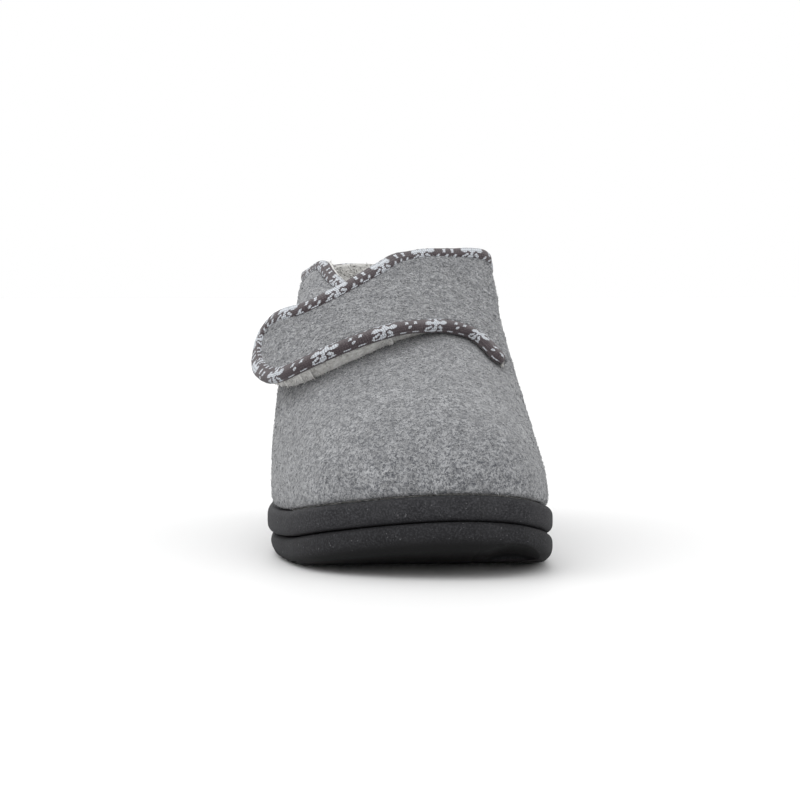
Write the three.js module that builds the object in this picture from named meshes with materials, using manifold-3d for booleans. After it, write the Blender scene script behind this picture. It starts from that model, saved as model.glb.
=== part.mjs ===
// A right-foot wrap slipper: felt upper with a wide flap over the instep, knitted edge binding, two-band sole.
// Millimetres, Z up, floor at Z = 0, toe towards -Y, the foot's inner side at +X.

import * as THREE from 'three';
import { mergeVertices } from 'three/addons/utils/BufferGeometryUtils.js';
import Module from 'manifold-3d';

const wasm = await Module();
wasm.setup();

// Driving sizes of the foot and the last.
const SOLE_LENGTH = 262;
const BALL_WIDTH = 102;
const HEEL_WIDTH = 72;
const UPPER_HEIGHT = 88;
const COLLAR_WIDTH = 74;
const COLLAR_LENGTH = 113;
const COLLAR_SETBACK = 13;
const COLLAR_SHIFT = 2;

// Sole: two rounded bands, one over the other.
const LOWER_BAND = 11.5;
const UPPER_BAND = 9.5;
const TOE_SPRING = 11.5;
const HEEL_ROLL = 2;
const ARCH_RISE = 1.4;
const BAND_ROUND = 3;
const TREAD_ROUND = 5;
const RIM_STEP = 1.8;
const OUTER_TUCK = 1.3;
const BALL_ALONG = 0.68;
const HEEL_WIDE_TO = 0.25;
const BALL_WIDE_FROM = 0.65;
const SPRING_FROM = 0.78;
const SPRING_POWER = 1.7;
const ROLL_TO = 0.07;
const ARCH_FROM = 0.3;
const ARCH_TO = 0.58;

// Felt and insole.
const FELT = 3;
const INSOLE_THICKNESS = 5;
const INSOLE_ROUND = 2.5;
const INSOLE_EDGE = 0.6;
const INSOLE_CLEARANCE = 0.8;

// Flap: FLAP_TIP is the share of its outline where the last rib before the outer end starts. It lifts off
// the upper between two places.
const FLAP_THICKNESS = 10;
const FLAP_LIFT = 0.6;
const FLAP_TIP = 0.49;
const RIB_SPAN = 10;
const LIFT_FROM = 11;
const LIFT_TO = 13;

// Bindings: the collar's runs between two places, and the flap's closes over the collar's edge there.
const BINDING_WIDTH = 4.6;
const COLLAR_BINDING_THICKNESS = 5;
const COLLAR_BOUND_FROM = 5.46;
const COLLAR_BOUND_TO = 10.5;
const OVER_COLLAR_TO = 6;
const OFF_COLLAR_FROM = 7.5;
const FLAP_BINDING_THICKNESS = 4.4;
const FIT = 0.3;

// Tread: curved grooves across the forefoot and the heel, and one arched notch under the inner toe.
const GROOVE_WIDTH = 3.2;
const GROOVE_DEPTH = 1.6;
const GROOVE_PITCH = 11;
const GROOVE_BOW = 7;
const FOREFOOT_GROOVES = 6;
const HEEL_GROOVES = 4;
const NOTCH_WIDTH = 17;
const NOTCH_DEPTH = 1.6;
const NOTCH_OUT = 0.6;
const NOTCH_START = 0.9;
const NOTCH_OVERRUN = 1.3;
const FOREFOOT_GROOVES_FROM = 0.62;
const HEEL_GROOVES_FROM = 0.23;

// Mesh steps.
const STEPS_PER_PLACE = 4;
const RISE_STEPS = 12;
const SIDE_STEPS = 4;
const INSOLE_SIDE_STEPS = 2;
const FLAP_RIBS = 34;
const FLAP_STEPS = 7;
const COLLAR_STEPS = 76;
const GROOVE_STEPS = 10;
const NOTCH_SIDES = 48;
const EDGE_TURNS = [-90, -60, -30, 0, 30, 60, 90];
const NORMAL_STEP = 0.01;
const WELD = 1e-4;

// The ribs of the last, one row for each place around the foot: from the heel tip along the inner side
// to the toe tip, and back along the outer side.
// foot: along is the share of the sole's length from the heel, out the share of the half width there.
// belly and crown: the same two shares, and rise, the share of the upper's height above the ball's rim.
// top: along is the share of the collar's length from its back, out that of its half width, and rise.
const RIBS = [
	{ place: 'heel tip', foot: [0, 0.04], belly: [-0.015, 0.04, 0.37],
		crown: [0.03, 0.04, 0.73], top: [0, 0, 0.97] },
	{ place: 'inner heel corner', foot: [0.036, 0.72], belly: [0.02, 0.8, 0.36],
		crown: [0.045, 0.6, 0.72], top: [0.03, 0.41, 0.975] },
	{ place: 'inner heel', foot: [0.137, 1.03], belly: [0.125, 1.08, 0.34],
		crown: [0.118, 0.98, 0.7], top: [0.15, 0.78, 0.96] },
	{ place: 'inner waist back', foot: [0.282, 1], belly: [0.275, 1.04, 0.33],
		crown: [0.225, 1.06, 0.66], top: [0.39, 0.95, 0.93] },
	{ place: 'inner waist', foot: [0.427, 0.88], belly: [0.42, 0.93, 0.33],
		crown: [0.335, 1.04, 0.68], top: [0.625, 0.96, 0.925] },
	{ place: 'inner arch', foot: [0.573, 0.87], belly: [0.57, 0.88, 0.32],
		crown: [0.465, 0.9, 0.72], top: [0.8, 0.95, 0.985] },
	{ place: 'inner ball', foot: [0.74, 0.955], belly: [0.745, 0.94, 0.25],
		crown: [0.573, 0.75, 0.73], top: [0.9, 0.84, 1.035] },
	{ place: 'inner toe', foot: [0.908, 0.845], belly: [0.93, 0.84, 0.35],
		crown: [0.645, 0.48, 0.62], top: [0.965, 0.49, 1.035] },
	{ place: 'inner toe corner', foot: [0.977, 0.6], belly: [1, 0.58, 0.46],
		crown: [0.69, 0.26, 0.58], top: [0.99, 0.24, 1.035] },
	{ place: 'toe tip', foot: [1, 0.19], belly: [1.02, 0.18, 0.5],
		crown: [0.7, 0.08, 0.565], top: [1, 0.03, 1.025] },
	{ place: 'outer toe corner', foot: [0.973, -0.36], belly: [0.995, -0.36, 0.46],
		crown: [0.69, -0.16, 0.575], top: [0.985, -0.2, 1.01] },
	{ place: 'outer toe', foot: [0.901, -0.79], belly: [0.92, -0.78, 0.36],
		crown: [0.655, -0.44, 0.62], top: [0.94, -0.44, 0.995] },
	{ place: 'outer fore ball', foot: [0.771, -0.99], belly: [0.775, -0.98, 0.31],
		crown: [0.6, -0.75, 0.68], top: [0.86, -0.67, 1] },
	{ place: 'outer ball', foot: [0.649, -1.04], belly: [0.65, -1.03, 0.36],
		crown: [0.53, -0.96, 0.72], top: [0.74, -0.85, 1.01] },
	{ place: 'outer waist', foot: [0.466, -1.05], belly: [0.46, -1.05, 0.37],
		crown: [0.38, -1.08, 0.7], top: [0.57, -0.96, 0.965] },
	{ place: 'outer waist back', foot: [0.294, -1.055], belly: [0.29, -1.1, 0.35],
		crown: [0.225, -1.03, 0.67], top: [0.36, -0.98, 0.935] },
	{ place: 'outer heel', foot: [0.137, -0.945], belly: [0.13, -1.02, 0.35],
		crown: [0.118, -0.9, 0.7], top: [0.15, -0.79, 0.955] },
	{ place: 'outer heel corner', foot: [0.038, -0.61], belly: [0.02, -0.7, 0.36],
		crown: [0.045, -0.51, 0.72], top: [0.03, -0.41, 0.975] },
];
const PLACES = RIBS.length;

// The places around the foot between which the lower band's tuck grows, and those where it fades.
const TUCK_FROM = [9, 12];
const TUCK_TO = [15, 17.5];

// Thickness of the two bands along the sole, as shares of their sizes; along runs from the heel to the toe.
const BANDS = [
	{ along: 0, lower: 1.1, upper: 1.05 },
	{ along: 0.25, lower: 1.05, upper: 1.05 },
	{ along: 0.5, lower: 0.85, upper: 1 },
	{ along: 0.68, lower: 0.75, upper: 1 },
	{ along: 0.85, lower: 0.925, upper: 0.97 },
	{ along: 1, lower: 0.85, upper: 0.93 },
];

// The upper's own top edge: up is the share of each rib that the felt covers. It dips to the throat,
// where the flap lies over it. around counts places from the heel tip.
const TOP_EDGE = [
	{ around: 5.4, up: 1 },
	{ around: 6, up: 0.955 },
	{ around: 7, up: 0.9 },
	{ around: 9, up: 0.87 },
	{ around: 11, up: 0.89 },
	{ around: 12.2, up: 0.94 },
	{ around: 13.4, up: 1 },
];

// The flap's outline on the last: along its lower edge from the inner side, around its outer end and
// back along its upper edge. around counts places, up is the share of the rib.
const FLAP_EDGE = [
	{ around: 6.74, up: 0.574 },
	{ around: 6.9, up: 0.63 },
	{ around: 7.07, up: 0.677 },
	{ around: 7.32, up: 0.707 },
	{ around: 7.8, up: 0.73 },
	{ around: 8.45, up: 0.738 },
	{ around: 9.1, up: 0.722 },
	{ around: 9.8, up: 0.688 },
	{ around: 10.4, up: 0.642 },
	{ around: 11, up: 0.595 },
	{ around: 11.5, up: 0.548 },
	{ around: 12, up: 0.513 },
	{ around: 12.45, up: 0.502 },
	{ around: 12.82, up: 0.53 },
	{ around: 12.98, up: 0.58 },
	{ around: 12.98, up: 0.63 },
	{ around: 12.78, up: 0.668 },
	{ around: 12.35, up: 0.695 },
	{ around: 11.9, up: 0.722 },
	{ around: 11.5, up: 0.765 },
	{ around: 11.1, up: 0.81 },
	{ around: 10.6, up: 0.86 },
	{ around: 10.2, up: 0.895 },
	{ around: 9.75, up: 0.935 },
	{ around: 9.3, up: 0.965 },
	{ around: 8.5, up: 0.985 },
	{ around: 7.5, up: 0.99 },
	{ around: 6.5, up: 0.995 },
	{ around: 5.5, up: 1 },
];

// The flap's felt and pile together, as shares of its full thickness: thin where it grows out of the
// inner quarter, full where it lies free over the outer side.
const FLAP_BODY = [
	{ around: 5.2, thick: 0.12 },
	{ around: 7, thick: 0.35 },
	{ around: 8.7, thick: 0.52 },
	{ around: 9.6, thick: 0.8 },
	{ around: 10.6, thick: 0.97 },
	{ around: 12, thick: 1 },
];

const felt = () => new THREE.MeshStandardMaterial({ color: 0x95969a, roughness: 0.95, metalness: 0 });
const knit = () => new THREE.MeshStandardMaterial({ color: 0x4a4143, roughness: 0.9, metalness: 0 });
const foam = () => new THREE.MeshStandardMaterial({ color: 0x36363a, roughness: 0.75, metalness: 0 });
const fleece = () => new THREE.MeshStandardMaterial({ color: 0xd8d6d0, roughness: 1, metalness: 0 });

const mix = (a, b, share) => a + (b - a) * share;

function ease(from, to, value) {
	const share = THREE.MathUtils.clamp((value - from) / (to - from), 0, 1);
	return share * share * (3 - 2 * share);
}

// A smooth value between the rows of a table, held at its first and last rows.
function between(rows, key, column, value) {
	let row = 0;
	while (row < rows.length - 2 && value > rows[row + 1][key]) row++;
	const slope = (i) => {
		const a = rows[Math.max(i - 1, 0)];
		const b = rows[Math.min(i + 1, rows.length - 1)];
		return i === 0 || i === rows.length - 1 ? 0 : (b[column] - a[column]) / (b[key] - a[key]);
	};
	const from = rows[row];
	const to = rows[row + 1];
	const span = to[key] - from[key];
	const t = THREE.MathUtils.clamp((value - from[key]) / span, 0, 1);
	const t2 = t * t;
	const t3 = t2 * t;
	return (2 * t3 - 3 * t2 + 1) * from[column] + (t3 - 2 * t2 + t) * span * slope(row)
		+ (3 * t2 - 2 * t3) * to[column] + (t3 - t2) * span * slope(row + 1);
}

const yAt = (along) => (0.5 - along) * SOLE_LENGTH;
const alongAt = (y) => 0.5 - y / SOLE_LENGTH;
const halfWidth = (along) => mix(HEEL_WIDTH, BALL_WIDTH, ease(HEEL_WIDE_TO, BALL_WIDE_FROM, along)) / 2;

// Heights along the sole: the underside, the groove between the bands and the rim.
const archHeight = (along) => {
	const middle = (ARCH_FROM + ARCH_TO) / 2;
	return ARCH_RISE * ease(ARCH_FROM, middle, along) * (1 - ease(middle, ARCH_TO, along));
};
function treadHeight(along) {
	const toe = Math.max(0, (along - SPRING_FROM) / (1 - SPRING_FROM));
	const heel = Math.max(0, (ROLL_TO - along) / ROLL_TO);
	return TOE_SPRING * toe ** SPRING_POWER + HEEL_ROLL * heel ** 2;
}
const floorHeight = (along) => treadHeight(along) + archHeight(along);
const grooveHeight = (along) => treadHeight(along) + LOWER_BAND * between(BANDS, 'along', 'lower', along);
const rimHeight = (along) => grooveHeight(along) + UPPER_BAND * between(BANDS, 'along', 'upper', along);
const UPPER_BASE = rimHeight(BALL_ALONG);

// The four loops that the upper's surface hangs on.
const closedCurve = (points) => new THREE.CatmullRomCurve3(points, true, 'centripetal');
const riseAt = (share) => UPPER_BASE + share * UPPER_HEIGHT;
const footLoop = closedCurve(RIBS.map(({ foot: [along, out] }) =>
	new THREE.Vector3(out * halfWidth(along), yAt(along), 0)));
const lastLoop = (name) => closedCurve(RIBS.map((rib) => {
	const [along, out, rise] = rib[name];
	return new THREE.Vector3(out * halfWidth(along), yAt(along), riseAt(rise));
}));
const bellyLoop = lastLoop('belly');
const crownLoop = lastLoop('crown');
const topLoop = closedCurve(RIBS.map(({ top: [along, out, rise] }) =>
	new THREE.Vector3(
		COLLAR_SHIFT + out * COLLAR_WIDTH / 2,
		yAt(0) - COLLAR_SETBACK - along * COLLAR_LENGTH,
		riseAt(rise),
	)));

const wrap = (around) => THREE.MathUtils.euclideanModulo(around / PLACES, 1);

// A point of the sole's outline, moved inwards by inset.
function outline(around, inset = 0) {
	const point = footLoop.getPoint(wrap(around));
	const run = footLoop.getTangent(wrap(around));
	return new THREE.Vector2(point.x + run.y * inset, point.y - run.x * inset);
}

// The last's outer surface: a Bezier rib from the rim, by the belly and the crown, to the collar.
function lastPoint(around, up) {
	const u = wrap(around);
	const foot = outline(around, RIM_STEP);
	const rib = new THREE.CubicBezierCurve3(
		new THREE.Vector3(foot.x, foot.y, rimHeight(alongAt(foot.y)) + FIT),
		bellyLoop.getPoint(u),
		crownLoop.getPoint(u),
		topLoop.getPoint(u),
	);
	return rib.getPoint(up);
}

function lastNormal(around, up) {
	const low = Math.max(up - NORMAL_STEP, 0);
	const high = Math.min(up + NORMAL_STEP, 1);
	const across = lastPoint(around + NORMAL_STEP, up).sub(lastPoint(around - NORMAL_STEP, up));
	const rising = lastPoint(around, high).sub(lastPoint(around, low));
	return rising.cross(across).normalize();
}

const onLast = (around, up, offset) =>
	lastPoint(around, up).addScaledVector(lastNormal(around, up), offset);

// A closed mesh from rings of points. Rings either close on each other or end in two caps.
function solid(rings, endless = false) {
	const size = rings[0].length;
	const positions = rings.flat().flatMap((p) => [p.x, p.y, p.z]);
	const index = [];
	const last = endless ? rings.length : rings.length - 1;
	for (let k = 0; k < last; k++) {
		const here = k * size;
		const next = ((k + 1) % rings.length) * size;
		for (let i = 0; i < size; i++) {
			const j = (i + 1) % size;
			index.push(here + i, next + i, next + j, here + i, next + j, here + j);
		}
	}
	if (!endless) {
		const end = (rings.length - 1) * size;
		for (let low = 0, high = size - 1; high - low > 1;) {
			index.push(low, low + 1, high, end + low, end + high, end + low + 1);
			low++;
			if (high - low > 1) index.push(low, high - 1, high, end + low, end + high, end + high - 1);
			high--;
		}
	}
	const geometry = new THREE.BufferGeometry();
	geometry.setAttribute('position', new THREE.Float32BufferAttribute(positions, 3));
	geometry.setIndex(facingOut(positions, index));
	return geometry;
}

// The triangles turned so that they face out of the body.
function facingOut(positions, index) {
	const at = (i) => new THREE.Vector3().fromArray(positions, 3 * i);
	let volume = 0;
	for (let i = 0; i < index.length; i += 3) {
		volume += at(index[i]).dot(at(index[i + 1]).cross(at(index[i + 2])));
	}
	if (volume > 0) return index;
	const turned = [];
	for (let i = 0; i < index.length; i += 3) turned.push(index[i], index[i + 2], index[i + 1]);
	return turned;
}

function toManifold(geometry) {
	const bare = geometry.clone();
	bare.deleteAttribute('normal');
	bare.deleteAttribute('uv');
	const merged = mergeVertices(bare, WELD);
	return new wasm.Manifold(new wasm.Mesh({
		numProp: 3,
		vertProperties: new Float32Array(merged.attributes.position.array),
		triVerts: new Uint32Array(merged.index.array),
	}));
}

function fromManifold(body) {
	const mesh = body.getMesh();
	const geometry = new THREE.BufferGeometry();
	geometry.setAttribute('position', new THREE.Float32BufferAttribute(mesh.vertProperties, 3));
	geometry.setIndex(new THREE.BufferAttribute(mesh.triVerts, 1));
	return geometry;
}

const placesAround = Array.from({ length: PLACES * STEPS_PER_PLACE }, (_, i) => i / STEPS_PER_PLACE);

// How far the lower band lies back under the upper one, along the outer side between the toe and the heel.
const outerTuck = (around) => OUTER_TUCK * ease(TUCK_FROM[0], TUCK_FROM[1], around)
	* (1 - ease(TUCK_TO[0], TUCK_TO[1], around));

// One band of the sole: its side bulges between two heights, with its own rounding below and above.
// insetAt is how far it lies inside the outline at each place.
function band(insetAt, bottom, top, roundBelow, roundAbove, steps = SIDE_STEPS) {
	const profile = [];
	for (let i = 0; i <= steps; i++) {
		const turn = (i / steps) * Math.PI / 2;
		profile.push({ inward: roundBelow * (1 - Math.sin(turn)), fromBottom: roundBelow * (1 - Math.cos(turn)) });
	}
	for (let i = 0; i <= steps; i++) {
		const turn = (i / steps) * Math.PI / 2;
		profile.push({ inward: roundAbove * (1 - Math.cos(turn)), fromTop: roundAbove * (1 - Math.sin(turn)) });
	}
	return solid(profile.map(({ inward, fromBottom, fromTop }) => placesAround.map((around) => {
		const point = outline(around, insetAt(around) + inward);
		const along = alongAt(point.y);
		const z = fromTop === undefined ? bottom(along) + fromBottom : top(along) - fromTop;
		return new THREE.Vector3(point.x, point.y, z);
	})));
}

// A groove across the tread, bowed towards the toe and wider than the sole.
function treadGroove(y) {
	const reach = BALL_WIDTH / 2 + GROOVE_PITCH;
	const path = new THREE.QuadraticBezierCurve3(
		new THREE.Vector3(-reach, y, 0),
		new THREE.Vector3(0, y - 2 * GROOVE_BOW, 0),
		new THREE.Vector3(reach, y, 0),
	);
	const half = GROOVE_WIDTH / 2;
	const section = new THREE.Shape([
		new THREE.Vector2(-GROOVE_DEPTH, -half),
		new THREE.Vector2(GROOVE_DEPTH, -half),
		new THREE.Vector2(GROOVE_DEPTH, half),
		new THREE.Vector2(-GROOVE_DEPTH, half),
	]);
	return new THREE.ExtrudeGeometry(section, { steps: GROOVE_STEPS, bevelEnabled: false, extrudePath: path });
}

// The notch under the inner toe follows the toe's rise, as a long round bar that is cut away.
function toeNotch() {
	const radius = (NOTCH_WIDTH ** 2 / 4 + NOTCH_DEPTH ** 2) / (2 * NOTCH_DEPTH);
	const crown = (along) => new THREE.Vector3(NOTCH_OUT * BALL_WIDTH / 2, yAt(along),
		floorHeight(along) + NOTCH_DEPTH - radius);
	const back = crown(NOTCH_START);
	const front = crown(1);
	const run = front.clone().sub(back);
	const bar = new THREE.CylinderGeometry(radius, radius, run.length() * NOTCH_OVERRUN, NOTCH_SIDES);
	const lengthwise = run.clone().normalize();
	bar.applyQuaternion(new THREE.Quaternion().setFromUnitVectors(new THREE.Vector3(0, 1, 0), lengthwise));
	bar.translate(...back.addScaledVector(run, NOTCH_OVERRUN / 2).toArray());
	return bar;
}

function outsoleGeometry() {
	const bandBody = band(outerTuck, floorHeight, (along) => grooveHeight(along) - FIT, TREAD_ROUND, BAND_ROUND);
	let body = toManifold(bandBody);
	for (let i = 0; i < FOREFOOT_GROOVES; i++) {
		body = body.subtract(toManifold(treadGroove(yAt(FOREFOOT_GROOVES_FROM) - i * GROOVE_PITCH)));
	}
	for (let i = 0; i < HEEL_GROOVES; i++) {
		body = body.subtract(toManifold(treadGroove(yAt(HEEL_GROOVES_FROM) + i * GROOVE_PITCH)));
	}
	return fromManifold(body.subtract(toManifold(toeNotch())));
}

const midsoleGeometry = () => band(() => 0, grooveHeight, rimHeight, BAND_ROUND, BAND_ROUND);

function insoleGeometry() {
	const edge = RIM_STEP + FELT + INSOLE_CLEARANCE;
	const base = (along) => rimHeight(along) + FIT;
	return band(() => edge, base, (along) => base(along) + INSOLE_THICKNESS,
		INSOLE_EDGE, INSOLE_ROUND, INSOLE_SIDE_STEPS);
}

const topEdge = (around) => between(TOP_EDGE, 'around', 'up', around);

// The felt wall: its outer skin on the last, its inner skin one felt thickness inside.
function upperGeometry() {
	const skin = (offset) => Array.from({ length: RISE_STEPS + 1 }, (_, k) => placesAround.map((around) => {
		const up = topEdge(around) * k / RISE_STEPS;
		const point = onLast(around, up, offset);
		if (k === 0) {
			const foot = outline(around, RIM_STEP - offset);
			point.set(foot.x, foot.y, rimHeight(alongAt(foot.y)) + FIT);
		}
		return point;
	}));
	return solid([...skin(0), ...skin(-FELT).reverse()], true);
}

// The flap's outline as a smooth line over the last; share runs from its lower to its upper root.
// A whole rib counts as long as RIB_SPAN places, so that the line is even in both directions.
const flapLine = new THREE.CatmullRomCurve3(
	FLAP_EDGE.map(({ around, up }) => new THREE.Vector3(around, up * RIB_SPAN, 0)), false, 'centripetal');
function flapEdge(share) {
	const point = flapLine.getPointAt(share);
	return { around: point.x, up: Math.min(point.y / RIB_SPAN, 1) };
}
// Half of the outline's length, short of the outer end's very tip.
const flapShares = Array.from({ length: FLAP_RIBS + 1 }, (_, k) => FLAP_TIP * k / FLAP_RIBS);
// The flap lies on the last and lifts off it towards its outer end.
const flapSeat = (around) => FIT + FLAP_LIFT * ease(LIFT_FROM, LIFT_TO, around);
const flapThickness = (around) => FLAP_THICKNESS * between(FLAP_BODY, 'around', 'thick', around);

function flapGeometry() {
	const rings = flapShares.map((share) => {
		const low = flapEdge(share);
		const high = flapEdge(1 - share);
		const side = (outer) => Array.from({ length: FLAP_STEPS + 1 }, (_, i) => {
			const around = mix(low.around, high.around, i / FLAP_STEPS);
			const up = mix(low.up, high.up, i / FLAP_STEPS);
			return onLast(around, up, flapSeat(around) + (outer ? flapThickness(around) : 0));
		});
		return [...side(true), ...side(false).reverse()];
	});
	return solid(rings);
}

// A rolled edge: a D-shaped section carried along a path, its flat side against the felt's edge.
function rolledEdge(stops) {
	const rings = stops.map(({ point, normal }, i) => {
		const before = stops[Math.max(i - 1, 0)].point;
		const after = stops[Math.min(i + 1, stops.length - 1)].point;
		const out = normal.clone().cross(after.clone().sub(before)).normalize();
		const { inner, outer } = stops[i];
		const half = (outer - inner) / 2;
		return EDGE_TURNS.map((angle) => {
			const turn = THREE.MathUtils.degToRad(angle);
			return point.clone()
				.addScaledVector(out, FIT + BINDING_WIDTH * Math.cos(turn))
				.addScaledVector(normal, (inner + outer) / 2 + half * Math.sin(turn));
		});
	});
	return solid(rings);
}

function flapBindingGeometry() {
	const shares = [...flapShares, ...flapShares.map((share) => 1 - share).reverse()];
	return rolledEdge(shares.map((share) => {
		const { around, up } = flapEdge(share);
		const outer = flapSeat(around) + flapThickness(around) + FIT;
		const overCollar = share > 0.5 ? 1 - ease(OVER_COLLAR_TO, OFF_COLLAR_FROM, around) : 0;
		return {
			point: lastPoint(around, up),
			normal: lastNormal(around, up),
			inner: mix(Math.max(outer - FLAP_BINDING_THICKNESS, FIT), -COLLAR_BINDING_THICKNESS, overCollar),
			outer: Math.max(outer, mix(FIT + FLAP_BINDING_THICKNESS, outer, overCollar)),
		};
	}));
}

// The collar's binding runs from the inner corner around the heel and down the outer front edge.
function collarBindingGeometry() {
	return rolledEdge(Array.from({ length: COLLAR_STEPS + 1 }, (_, i) => {
		const around = THREE.MathUtils.euclideanModulo(
			mix(COLLAR_BOUND_FROM, COLLAR_BOUND_TO - PLACES, i / COLLAR_STEPS), PLACES);
		const up = topEdge(around);
		return {
			point: lastPoint(around, up),
			normal: lastNormal(around, up),
			inner: -COLLAR_BINDING_THICKNESS,
			outer: 0,
		};
	}));
}

const slipper = new THREE.Group();
function add(name, geometry, material) {
	const mesh = new THREE.Mesh(geometry, material);
	mesh.name = name;
	slipper.add(mesh);
}

add('outsole', outsoleGeometry(), foam());
add('midsole', midsoleGeometry(), foam());
add('insole', insoleGeometry(), fleece());
add('upper', upperGeometry(), felt());
add('wrap_flap', flapGeometry(), felt());
add('binding_flap', flapBindingGeometry(), knit());
add('binding_collar', collarBindingGeometry(), knit());

// The origin lies on the floor under the middle of the whole slipper's box.
const box = new THREE.Box3().setFromObject(slipper);
const middle = box.getCenter(new THREE.Vector3());
slipper.position.set(-middle.x, -middle.y, -box.min.z);

export default slipper;
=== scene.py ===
# %% [markdown]
# A felt slipper with a wide wrap-over flap, a fleece lining and a two-band foam sole.
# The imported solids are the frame: they give every place and size, in metres, with the toe towards -Y
# and the inner side of the foot at +X. Each cell below makes one piece around its solid.

import math

import bmesh
import bpy
import numpy as np
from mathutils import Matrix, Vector, noise
from mathutils.bvhtree import BVHTree
from mathutils.kdtree import KDTree


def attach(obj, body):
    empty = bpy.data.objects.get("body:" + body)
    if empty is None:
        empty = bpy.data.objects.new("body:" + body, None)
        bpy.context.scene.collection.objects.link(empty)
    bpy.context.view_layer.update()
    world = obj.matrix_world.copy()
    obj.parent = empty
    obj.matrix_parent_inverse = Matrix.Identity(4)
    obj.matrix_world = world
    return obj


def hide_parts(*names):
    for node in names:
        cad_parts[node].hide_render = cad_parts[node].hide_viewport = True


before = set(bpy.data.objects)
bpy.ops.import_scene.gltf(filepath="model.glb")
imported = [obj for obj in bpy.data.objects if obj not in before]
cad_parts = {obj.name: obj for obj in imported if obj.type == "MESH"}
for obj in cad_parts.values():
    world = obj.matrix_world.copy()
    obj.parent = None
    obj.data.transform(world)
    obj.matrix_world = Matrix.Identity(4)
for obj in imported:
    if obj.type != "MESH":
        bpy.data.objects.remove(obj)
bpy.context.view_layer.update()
MM = 0.001
ROOT = "root"
print("solids:", sorted(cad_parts))

# %% [markdown]
# The camera stands low and far away, almost straight before the toe, as a product picture is taken: the
# long lens keeps the heel from shrinking. It is placed by two angles and a distance from a point in the
# middle of the slipper.

# %% The camera
LOOKED_AT = Vector((4.06, 0, 55)) * MM
CAMERA_DISTANCE = 1062 * MM
AZIMUTH = math.radians(-5)
ELEVATION = math.radians(3)
SENSOR = 36
LENS = 123.4


def add_camera():
    back = Vector((math.sin(AZIMUTH) * math.cos(ELEVATION), -math.cos(AZIMUTH) * math.cos(ELEVATION),
                   math.sin(ELEVATION)))
    data = bpy.data.cameras.new("camera")
    data.lens = LENS
    data.sensor_width = SENSOR
    camera = bpy.data.objects.new("camera", data)
    bpy.context.scene.collection.objects.link(camera)
    camera.location = LOOKED_AT + back * CAMERA_DISTANCE
    camera.rotation_euler = back.to_track_quat("Z", "Y").to_euler()
    bpy.context.scene.camera = camera
    return camera


camera = add_camera()
print("camera at", [round(v, 3) for v in camera.location])

# %% [markdown]
# A product picture has an even white surround, with the light a little stronger from the upper left. A
# pale floor, a white world and three wide, soft suns give that: suns light the whole floor alike, so that it
# meets the world without a line.

# %% The floor and the light
FLOOR_SIZE = 12
SUNS = [
    {"name": "key", "from": (-0.7, -0.1, 1.3), "strength": 0.8, "soft": 60},
    {"name": "front", "from": (0.0, -1, 0.6), "strength": 0.55, "soft": 80},
    {"name": "back", "from": (-0.15, 1, 0.8), "strength": 0.6, "soft": 60},
]


def add_floor():
    bpy.ops.mesh.primitive_plane_add(size=FLOOR_SIZE, location=(0, 0, 0))
    floor = bpy.context.object
    floor.name = "floor"
    material = bpy.data.materials.new("pale floor")
    material.use_nodes = True
    shader = material.node_tree.nodes["Principled BSDF"]
    shader.inputs["Base Color"].default_value = (0.75, 0.75, 0.75, 1)
    shader.inputs["Roughness"].default_value = 0.6
    shader.inputs["Specular IOR Level"].default_value = 0.2
    floor.data.materials.append(material)
    return floor


def add_lights():
    world = bpy.data.worlds.new("white surround")
    world.use_nodes = True
    world.node_tree.nodes["Background"].inputs["Color"].default_value = (1, 1, 1, 1)
    world.node_tree.nodes["Background"].inputs["Strength"].default_value = 1.0
    bpy.context.scene.world = world
    for sun in SUNS:
        light = bpy.data.lights.new(sun["name"], "SUN")
        light.energy = sun["strength"]
        light.angle = math.radians(sun["soft"])
        lamp = bpy.data.objects.new(sun["name"], light)
        bpy.context.scene.collection.objects.link(lamp)
        lamp.rotation_euler = Vector(sun["from"]).to_track_quat("Z", "Y").to_euler()


bpy.ops.object.select_all(action="DESELECT")
add_floor()
add_lights()
bpy.context.scene.view_settings.view_transform = "Standard"
print("lights:", [sun["name"] for sun in SUNS])

# %% [markdown]
# Operators act on whatever is selected, so a few helpers put everything down, take one piece up, copy a
# solid as a clean mesh, select faces by a test, and apply a modifier. A copied solid is loose triangles:
# its doubles are merged and its triangles joined, so that it can be subdivided.

# %% Helpers for working on one piece
WELD = 0.02 * MM
QUAD_TURN = math.radians(50)
QUAD_SKEW = math.radians(70)


def put_down():
    if bpy.context.object is not None and bpy.context.object.mode != "OBJECT":
        bpy.ops.object.mode_set(mode="OBJECT")
    bpy.ops.object.select_all(action="DESELECT")


def take_up(piece):
    put_down()
    piece.select_set(True)
    bpy.context.view_layer.objects.active = piece


def new_piece(name, mesh):
    piece = bpy.data.objects.new(name, mesh)
    mesh.name = name
    bpy.context.scene.collection.objects.link(piece)
    return piece


def working_copy(node, name, quads=True):
    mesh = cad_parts[node].data.copy()
    mesh.materials.clear()
    piece = new_piece(name, mesh)
    take_up(piece)
    bpy.ops.object.mode_set(mode="EDIT")
    bpy.ops.mesh.select_all(action="SELECT")
    bpy.ops.mesh.remove_doubles(threshold=WELD)
    if quads:
        bpy.ops.mesh.tris_convert_to_quads(face_threshold=QUAD_TURN, shape_threshold=QUAD_SKEW)
    bpy.ops.object.mode_set(mode="OBJECT")
    return piece


def duplicate(piece, name):
    return new_piece(name, piece.data.copy())


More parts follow.
